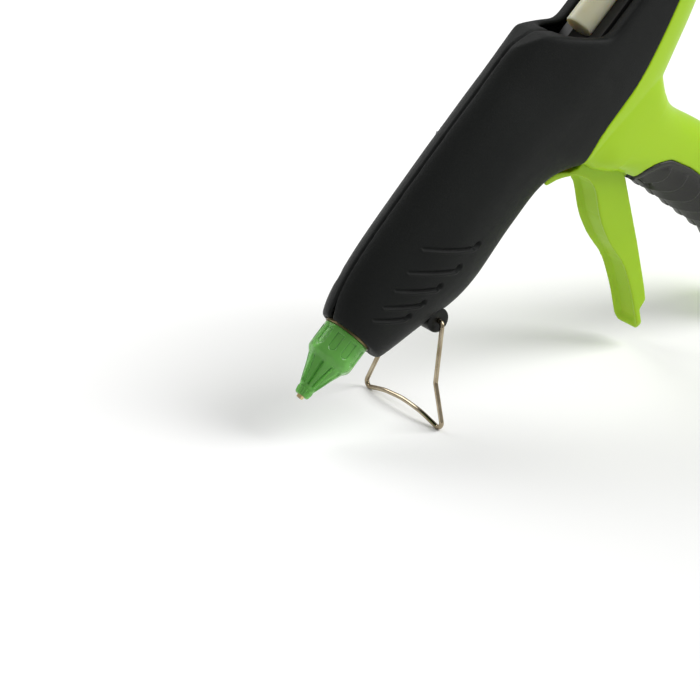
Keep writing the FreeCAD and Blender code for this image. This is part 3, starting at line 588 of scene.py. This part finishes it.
def plain_sculpt(points, normals, edges, side):
    """A shell that keeps its eased form."""
    return points


SIDES = ((-1, "left"), (1, "right"))

for side, word in SIDES:
    rear_and_handle = ["rear_shell_" + word, "handle_shell_" + word]
    shell_piece(["body_shell_" + word], side, shell_black, body_sculpt)
    shell_piece(rear_and_handle, side, handle_green, plain_sculpt)

# ---------------------------------------------------------------- rubber grip

# The rubber's edge against the green, in (u, v), from the trigger round to the toe, and then closed
# through the handle.
GRIP_EDGE = [(138, -69.0), (154.6, -67.8), (158.6, -64.6), (164.4, -66.8), (170.0, -71.8), (174.6, -84),
             (181.4, -120), (182.4, -143), (166, -154.5), (138, -154.5)]
# The grip's front line, in (v, u), from the toe up to the trigger.
GRIP_FRONT = [(-160, 166.0), (-138, 168.6), (-118, 166.0), (-98, 162.2), (-80, 158.4), (-66, 154.2),
              (-60, 152.0)]

# The scales: the first one's edge down v, their pitch, and their lowest and highest surface.
RIB_START = 72.0
RIB_PITCH = 10.9
RIB_LOW = -0.9
RIB_HIGH = 1.0
RIB_RAMP = 1.3

# How far a scale's edge drops across the front, drops on behind it and comes back up on the flank.
DROP_ACROSS = 3.4
DROP_BEHIND = 1.5
DROP_BACK = 4.0
GRIP_HALF = 10.0

# The raised border: its height and the widths over which it ends, and the trough inside it.
BORDER_HEIGHT = 0.45
BORDER_END = (1.3, 2.4)
SCALES_FROM = (2.6, 4.4)
TROUGH_AT = 3.0
TROUGH_HALF = 0.7
TROUGH_DEPTH = 0.35


def grip_sculpt(points, normals, edges, side):
    """Overlapping crescent scales inside a raised border."""
    u, y, v = points.T
    border, _ = path_distance(points[:, [0, 2]], GRIP_EDGE, [0] * len(GRIP_EDGE))
    front = np.array(GRIP_FRONT)
    behind = u - np.interp(v, front[:, 0], front[:, 1])
    drop = DROP_ACROSS * (np.abs(y) / GRIP_HALF) ** 1.6
    drop += DROP_BEHIND * step(0.0, 4.0, behind) - DROP_BACK * step(4.0, 13.0, behind)
    phase = (-v - drop - RIB_START) / RIB_PITCH
    share = phase - np.floor(phase)
    scale = RIB_LOW + (RIB_HIGH - RIB_LOW) * share ** RIB_RAMP
    scale -= (RIB_HIGH - RIB_LOW) * step(0.9, 1.0, share)
    scale *= 1 - 0.8 * step(9.0, 16.0, behind)
    inside = step(*SCALES_FROM, border)
    lip = BORDER_HEIGHT * (1 - step(*BORDER_END, border))
    trough = TROUGH_DEPTH * np.exp(-((border - TROUGH_AT) / TROUGH_HALF) ** 2)
    outside = normals[:, 0] * -0.9 + normals[:, 1] * side * 0.8
    outer = step(0.1, 0.5, outside)
    points = points + normals * ((scale * inside + lip - trough) * outer)[:, None]
    return points


for side, word in SIDES:
    shell_piece(["grip_pad_" + word], side, grip_rubber, grip_sculpt)

# ---------------------------------------------------------------- trigger

TRIGGER_FINE = 0.35

# The finger plate's front in the CAD, in (u, v), from the belly down to its tip, and its half width.
TRIGGER_FRONT = [(126.0, -29.6), (130.4, -32.6), (136.4, -37.2), (140.9, -45.0), (141.4, -54.0),
                 (133.6, -68.4), (130.2, -82.0), (129.4, -95.0), (123.4, -111.0), (115.4, -126.6)]
TRIGGER_HALF = 7.2

# The tip, the radius of its two rounded corners, the v below which they may reach, and the least width
# left, as a share.
TONGUE_TIP = (116.2, -128.0)
TONGUE_ROUND = 4.6
TONGUE_FROM = -100
TONGUE_LEAST = 0.25

# How the front's corners are rounded, and how far behind the front that fades out.
CORNER_SPACING = 0.5
CORNER_ROUNDS = 130
CORNER_FADE = (3.0, 9.0)

# The dish: its depth, the shares of the half width over which it rises, and the rim's height beside it.
DISH_DEPTH = 1.5
DISH_EDGE = (0.52, 0.86)
RIM_HEIGHT = 0.3
RIM_EDGE = (0.8, 0.95)

# Where the dish fades out: by the way the plate faces, its distance from the front and from the tip.
PLATE_FACING = (0.2, 0.6)
PLATE_NEAR = (1.6, 2.6)
PLATE_FOOT = (1.5, 6.0)


def corner_shift(path, spacing, rounds):
    """Places along a path, by length, and the shift at each that rounds the path's corners."""
    corners = np.array(path, float)
    lengths = np.concatenate([[0], np.cumsum(np.linalg.norm(np.diff(corners, axis=0), axis=1))])
    places = np.arange(0, lengths[-1], spacing)
    flat = np.stack([np.interp(places, lengths, corners[:, axis]) for axis in (0, 1)], 1)
    eased = flat.copy()
    for _ in range(rounds):
        eased[1:-1] = eased[1:-1] * 0.5 + (eased[:-2] + eased[2:]) * 0.25
    return lengths, places, eased - flat


def trigger_piece():
    """The trigger, with soft edges and a dished finger plate between raised rims."""
    mesh = remeshed(["trigger"], TRIGGER_FINE)
    edges = mesh_edges(mesh)
    points = mesh_points(mesh)
    tip = np.array(TONGUE_TIP)
    back = np.array(TRIGGER_FRONT[-2]) - tip
    back /= np.linalg.norm(back)
    along = (points[:, [0, 2]] - tip) @ back
    short = TONGUE_ROUND - np.clip(along, 0, TONGUE_ROUND)
    narrowing = (TRIGGER_HALF - TONGUE_ROUND + np.sqrt(TONGUE_ROUND ** 2 - short ** 2)) / TRIGGER_HALF
    near_tip = points[:, 2] < TONGUE_FROM
    points[:, 1] *= np.where(near_tip, np.maximum(narrowing, TONGUE_LEAST), 1)
    points = smoothed(points, edges, 6)
    set_points(mesh, points)
    normals = mesh_normals(mesh)
    lengths, places, shift = corner_shift(TRIGGER_FRONT, CORNER_SPACING, CORNER_ROUNDS)
    gap, place = path_distance(points[:, [0, 2]], TRIGGER_FRONT, lengths)
    nearness = 1 - step(*CORNER_FADE, gap)
    points[:, 0] += nearness * np.interp(place, places, shift[:, 0])
    points[:, 2] += nearness * np.interp(place, places, shift[:, 1])
    facing = step(*PLATE_FACING, -normals[:, 0] - 0.5 * normals[:, 2])
    front = facing * (1 - step(*PLATE_NEAR, gap)) * step(*PLATE_FOOT, along)
    across = np.abs(points[:, 1]) / TRIGGER_HALF
    dish = DISH_DEPTH * (1 - step(*DISH_EDGE, across)) - RIM_HEIGHT * step(*RIM_EDGE, across)
    points = points + normals * (-dish * front)[:, None]
    points = smoothed(points, edges, 2, 0.4)
    set_points(mesh, points)
    add_piece("trigger_skin", mesh, "trigger", trigger_green, ["trigger"])


trigger_piece()

# ---------------------------------------------------------------- nozzle cover

# The cover's outside, its inside and a line within its wall that tells the two apart, in (u, radius).
COVER_OUTSIDE = [(1.2, 2.55), (1.5, 2.85), (4.0, 3.3), (4.4, 3.15), (8.0, 4.5), (12.5, 6.1), (16.3, 7.7),
                 (18.4, 9.3), (19.4, 9.5), (29.5, 9.5), (29.8, 9.3)]
COVER_INSIDE = [(29.8, 7.55), (26.85, 7.5), (26.8, 6.5), (17.9, 6.5), (15.9, 5.4), (2.5, 1.9), (1.2, 1.75)]
COVER_WALL = [(1.2, 2.2), (2.5, 2.3), (16.0, 5.9), (18.5, 7.2), (26.5, 7.2), (27.2, 8.6), (29.6, 8.6)]
COVER_RIM = (29.8, 9.1)

# The arched panels: how many, their depth, their foot, how far their arch rises and their rear end.
PANELS = 10
PANEL_DEPTH = 0.42
PANEL_FOOT = 20.6
PANEL_ARCH = 0.9
PANEL_END = (27.6, 28.4)

# The scalloped shoulder: its place, its half width and its swell.
SHOULDER_AT = 17.4
SHOULDER_HALF = 1.5
SHOULDER_SWELL = 0.35

# The slots, one in line with each panel: their half width, their depth and their two ends.
SLOT_HALF = 1.014
SLOT_DEPTH = 1.05
SLOT_START = (5.0, 6.6)
SLOT_END = (15.4, 17.0)

# The knurled collar at the tip: its ridges, their height and its two ends.
KNURLS = 20
KNURL_HEIGHT = 0.1
COLLAR_START = (1.5, 1.9)
COLLAR_END = (3.9, 4.2)


def cover_relief(place, turn, radius):
    """Panels round the base, a scalloped shoulder, slots down the taper and a knurled collar."""
    wall = np.array(COVER_WALL)
    outer = radius > np.interp(place, wall[:, 0], wall[:, 1])
    wave = np.cos(turn * PANELS)
    start = PANEL_FOOT + PANEL_ARCH * (1 - wave)
    panel = step(start - 0.4, start + 0.5, place) * step(-0.35, 0.0, wave)
    panel *= 1 - step(*PANEL_END, place)
    shoulder = np.exp(-((place - SHOULDER_AT) / SHOULDER_HALF) ** 2) * (0.5 * wave - 0.1)
    pitch = 2 * math.pi / PANELS
    from_slot = np.abs((turn / pitch + 0.5) % 1 - 0.5) * pitch
    slot = 1 - step(0.0, SLOT_HALF / np.maximum(radius, 1), from_slot)
    slot *= step(*SLOT_START, place) * (1 - step(*SLOT_END, place))
    knurl = np.cos(turn * KNURLS) * (1 - step(*COLLAR_END, place)) * step(*COLLAR_START, place)
    relief = SHOULDER_SWELL * shoulder + KNURL_HEIGHT * knurl - PANEL_DEPTH * panel - SLOT_DEPTH * slot
    return relief * outer


def cover_outline():
    """The cover's cross-section, cut finely along its outside."""
    corners = np.array(COVER_OUTSIDE)
    spacing = 0.16
    places = np.arange(corners[0, 0], corners[-1, 0], spacing)
    radii = np.interp(places, corners[:, 0], corners[:, 1])
    for _ in range(2):
        radii[1:-1] = radii[1:-1] * 0.5 + (radii[:-2] + radii[2:]) * 0.25
    return list(zip(places, radii)) + [COVER_RIM] + COVER_INSIDE


cover_mesh = turned_mesh(cover_outline(), 320, change=cover_relief)
add_piece("nozzle_cover_skin", cover_mesh, "housing", cover_silicone, ["nozzle_cover"])

# ---------------------------------------------------------------- glue stick

STICK_FRONT = 179.0
STICK_REAR = 281.0
STICK_RADIUS = 5.6

# The stick's cut end, in (depth behind its highest ring, radius), from its middle out to its wall.
STICK_END = [(0.05, 0.0), (0.02, 2.5), (0.0, 4.9), (0.08, 5.25), (0.3, 5.5)]


def stick_relief(place, turn, radius):
    """The faint sag and draw lines of an extruded stick."""
    on_wall = radius > STICK_RADIUS - 0.05
    return on_wall * (0.03 * np.sin(place * 0.31 + 2 * np.sin(turn)) + 0.02 * np.sin(turn * 9))


def stick_outline():
    """The stick's cross-section with eased cut ends."""
    front = [(STICK_FRONT + depth, radius) for depth, radius in STICK_END]
    wall = [(place, STICK_RADIUS) for place in np.linspace(STICK_FRONT + 0.7, STICK_REAR - 0.7, 150)]
    rear = [(STICK_REAR - depth, radius) for depth, radius in reversed(STICK_END)]
    return front + wall + rear


stick_mesh = turned_mesh(stick_outline(), 96, change=stick_relief)
add_piece("glue_stick_skin", stick_mesh, "stick", glue_wax, ["glue_stick"])

# ---------------------------------------------------------------- stand

holder_box = to_gun(np.array(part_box("stand_holder")))
HOLDER_HALF = float(np.abs(holder_box[:, 1]).max())
HOLDER_RADIUS = 5.0
WIRE_RADIUS = 0.95

# The barrel's rim, in (depth behind its end face, distance inside its side), from the face outwards.
HOLDER_RIM = [(0.0, 0.75), (0.06, 0.4), (0.25, 0.12), (0.6, 0.0), (1.2, 0.0)]


def holder_outline():
    """The barrel's cross-section: a flat end face with an eased rim and a snug hole for the wire."""
    half = HOLDER_HALF
    hole = WIRE_RADIUS + 0.08
    end = [(half - 0.9, hole), (half - 0.25, hole), (half - 0.18, hole + 0.2), (half - 0.12, hole + 0.9)]
    end += [(half - depth, HOLDER_RADIUS - inset) for depth, inset in HOLDER_RIM]
    other = [(-place, radius) for place, radius in reversed(end)]
    return end + other


holder_mesh = turned_mesh(holder_outline(), 72, "y", STAND)
add_piece("stand_holder_skin", holder_mesh, "housing", smooth_black, ["stand_holder"])

# ---------------------------------------------------------------- carried-over pieces

# Each CAD node that shows as it is, with its material and its slot in the record.
CARRIED = {
    "nozzle": (brass, "brass"),
    "nozzle_ball": (steel, "steel"),
    "nozzle_spring": (steel, "steel"),
    "nose_ring": (ring_steel, "ring_steel"),
    "melt_chamber": (cast_aluminium, "chamber_aluminium"),
    "heater_film": (film_amber, "heater_film"),
    "heating_plate": (ceramic_grey, "heater_ceramic"),
    "lower_contact": (brass, "brass"),
    "upper_contact": (brass, "brass"),
    "front_support": (support_plastic, "support_plastic"),
    "rear_support": (support_plastic, "support_plastic"),
    "inlet_sleeve": (sleeve_red, "sleeve_silicone"),
    "sleeve_clip": (steel, "steel"),
    "trigger_pin": (steel, "steel"),
    "feed_carriage": (inner_black, "inner_black"),
    "feed_claw": (steel, "steel"),
    "claw_pin": (steel, "steel"),
    "carriage_track": (inner_black, "inner_black"),
    "return_spring": (steel, "steel"),
    "stick_cradle": (inner_black, "inner_black"),
    "stick_guide": (smooth_black, "inner_black"),
    "cord_gland": (smooth_black, "inner_black"),
    "terminal_block": (support_plastic, "support_plastic"),
    "heater_leads": (lead_white, "lead_wire"),
    "wire_stand": (wire_nickel, "stand_wire"),
}

for node, (material, slot) in CARRIED.items():
    carried = frame["nodes"][node]
    carried.data.materials.clear()
    carried.data.materials.append(material)

# How much deeper the foremost screw is sunk, and the u that it lies in front of.
SCREW_SINK = 1.5
SCREW_FOREMOST = 60


def screw_piece():
    """The housing screws, the foremost sunk a little deeper so that its head stays inside the nose."""
    mesh = frame["nodes"]["housing_screws"].data.copy()
    points = to_gun(mesh_points(mesh))
    points[:, 1] -= SCREW_SINK * (points[:, 0] < SCREW_FOREMOST)
    set_points(mesh, points)
    add_piece("housing_screws_skin", mesh, "housing", steel, ["housing_screws"])


screw_piece()

# ---------------------------------------------------------------- floor, light and camera

FLOOR_HALF = 3.0


def make_floor():
    """A wide, plain, flat floor."""
    mesh = bpy.data.meshes.new("floor")
    half = FLOOR_HALF
    corners = [(-half, -half, 0), (half, -half, 0), (half, half, 0), (-half, half, 0)]
    mesh.from_pydata(corners, [], [(0, 1, 2, 3)])
    floor = bpy.data.objects.new("floor", mesh)
    bpy.context.scene.collection.objects.link(floor)
    paint = Paint("floor_pale")
    paint.colour(paint.ramp(paint.noise(6, 3), 0.3, 0.7, rgb(248, 248, 248), rgb(251, 251, 250)))
    paint.rough(paint.spread(paint.noise(40, 3), 0.75, 0.9))
    mesh.materials.append(paint.material)


def aim_light(light, place, target):
    """Sets a light down and turns it towards a point."""
    light.location = place
    light.rotation_mode = "QUATERNION"
    light.rotation_quaternion = (Vector(target) - Vector(place)).to_track_quat("-Z", "Y")
    bpy.context.scene.collection.objects.link(light)


def make_light(name, place, target, size, power):
    """A soft rectangular light aimed at a point."""
    data = bpy.data.lights.new(name, "AREA")
    data.shape = "RECTANGLE"
    data.size = size[0]
    data.size_y = size[1]
    data.energy = power
    aim_light(bpy.data.objects.new(name, data), place, target)


def make_sun(name, place, target, spread, power):
    """An even light from far away, with soft shadows."""
    data = bpy.data.lights.new(name, "SUN")
    data.angle = math.radians(spread)
    data.energy = power
    aim_light(bpy.data.objects.new(name, data), place, target)


def make_world(strength):
    """An even white surround."""
    world = bpy.data.worlds.new("studio")
    world.use_nodes = True
    background = world.node_tree.nodes["Background"]
    background.inputs["Color"].default_value = (1, 1, 1, 1)
    background.inputs["Strength"].default_value = strength
    bpy.context.scene.world = world


# The camera looks down at the near side of the nose, a little rolled. Its place, in mm, and its
# directions are in the gun's frame. Its sensor and lens are in mm too.
EYE = (-70.57, -615.57, 593.38)
LOOK = (0.112366, 0.711807, -0.693329)
CAMERA_UP = (0.794028, 0.355175, 0.493326)
SENSOR_WIDTH = 36.0
LENS = 117.26


def make_camera():
    """The camera, at the photograph's viewing angle."""
    data = bpy.data.cameras.new("camera")
    data.sensor_width = SENSOR_WIDTH
    data.lens = LENS
    data.clip_start = 0.01
    data.clip_end = 50
    camera = bpy.data.objects.new("camera", data)
    back = -(np.array(LOOK) @ AXES)
    overhead = np.array(CAMERA_UP) @ AXES
    right = np.cross(overhead, back)
    right /= np.linalg.norm(right)
    overhead = np.cross(back, right)
    turn = Matrix([right, overhead, back]).transposed().to_4x4()
    turn.translation = Vector(to_row([EYE])[0])
    camera.matrix_world = turn
    bpy.context.scene.collection.objects.link(camera)
    bpy.context.scene.camera = camera


MIDDLE = (0.0, 0.0, 0.1)

make_floor()
make_sun("key", (0.8, -0.5, 0.95), MIDDLE, 38, 2.2)
make_light("rim", (-0.2, 0.8, 0.8), MIDDLE, (0.8, 0.6), 5)
make_world(0.45)
make_camera()
bpy.context.scene.view_settings.view_transform = "Standard"
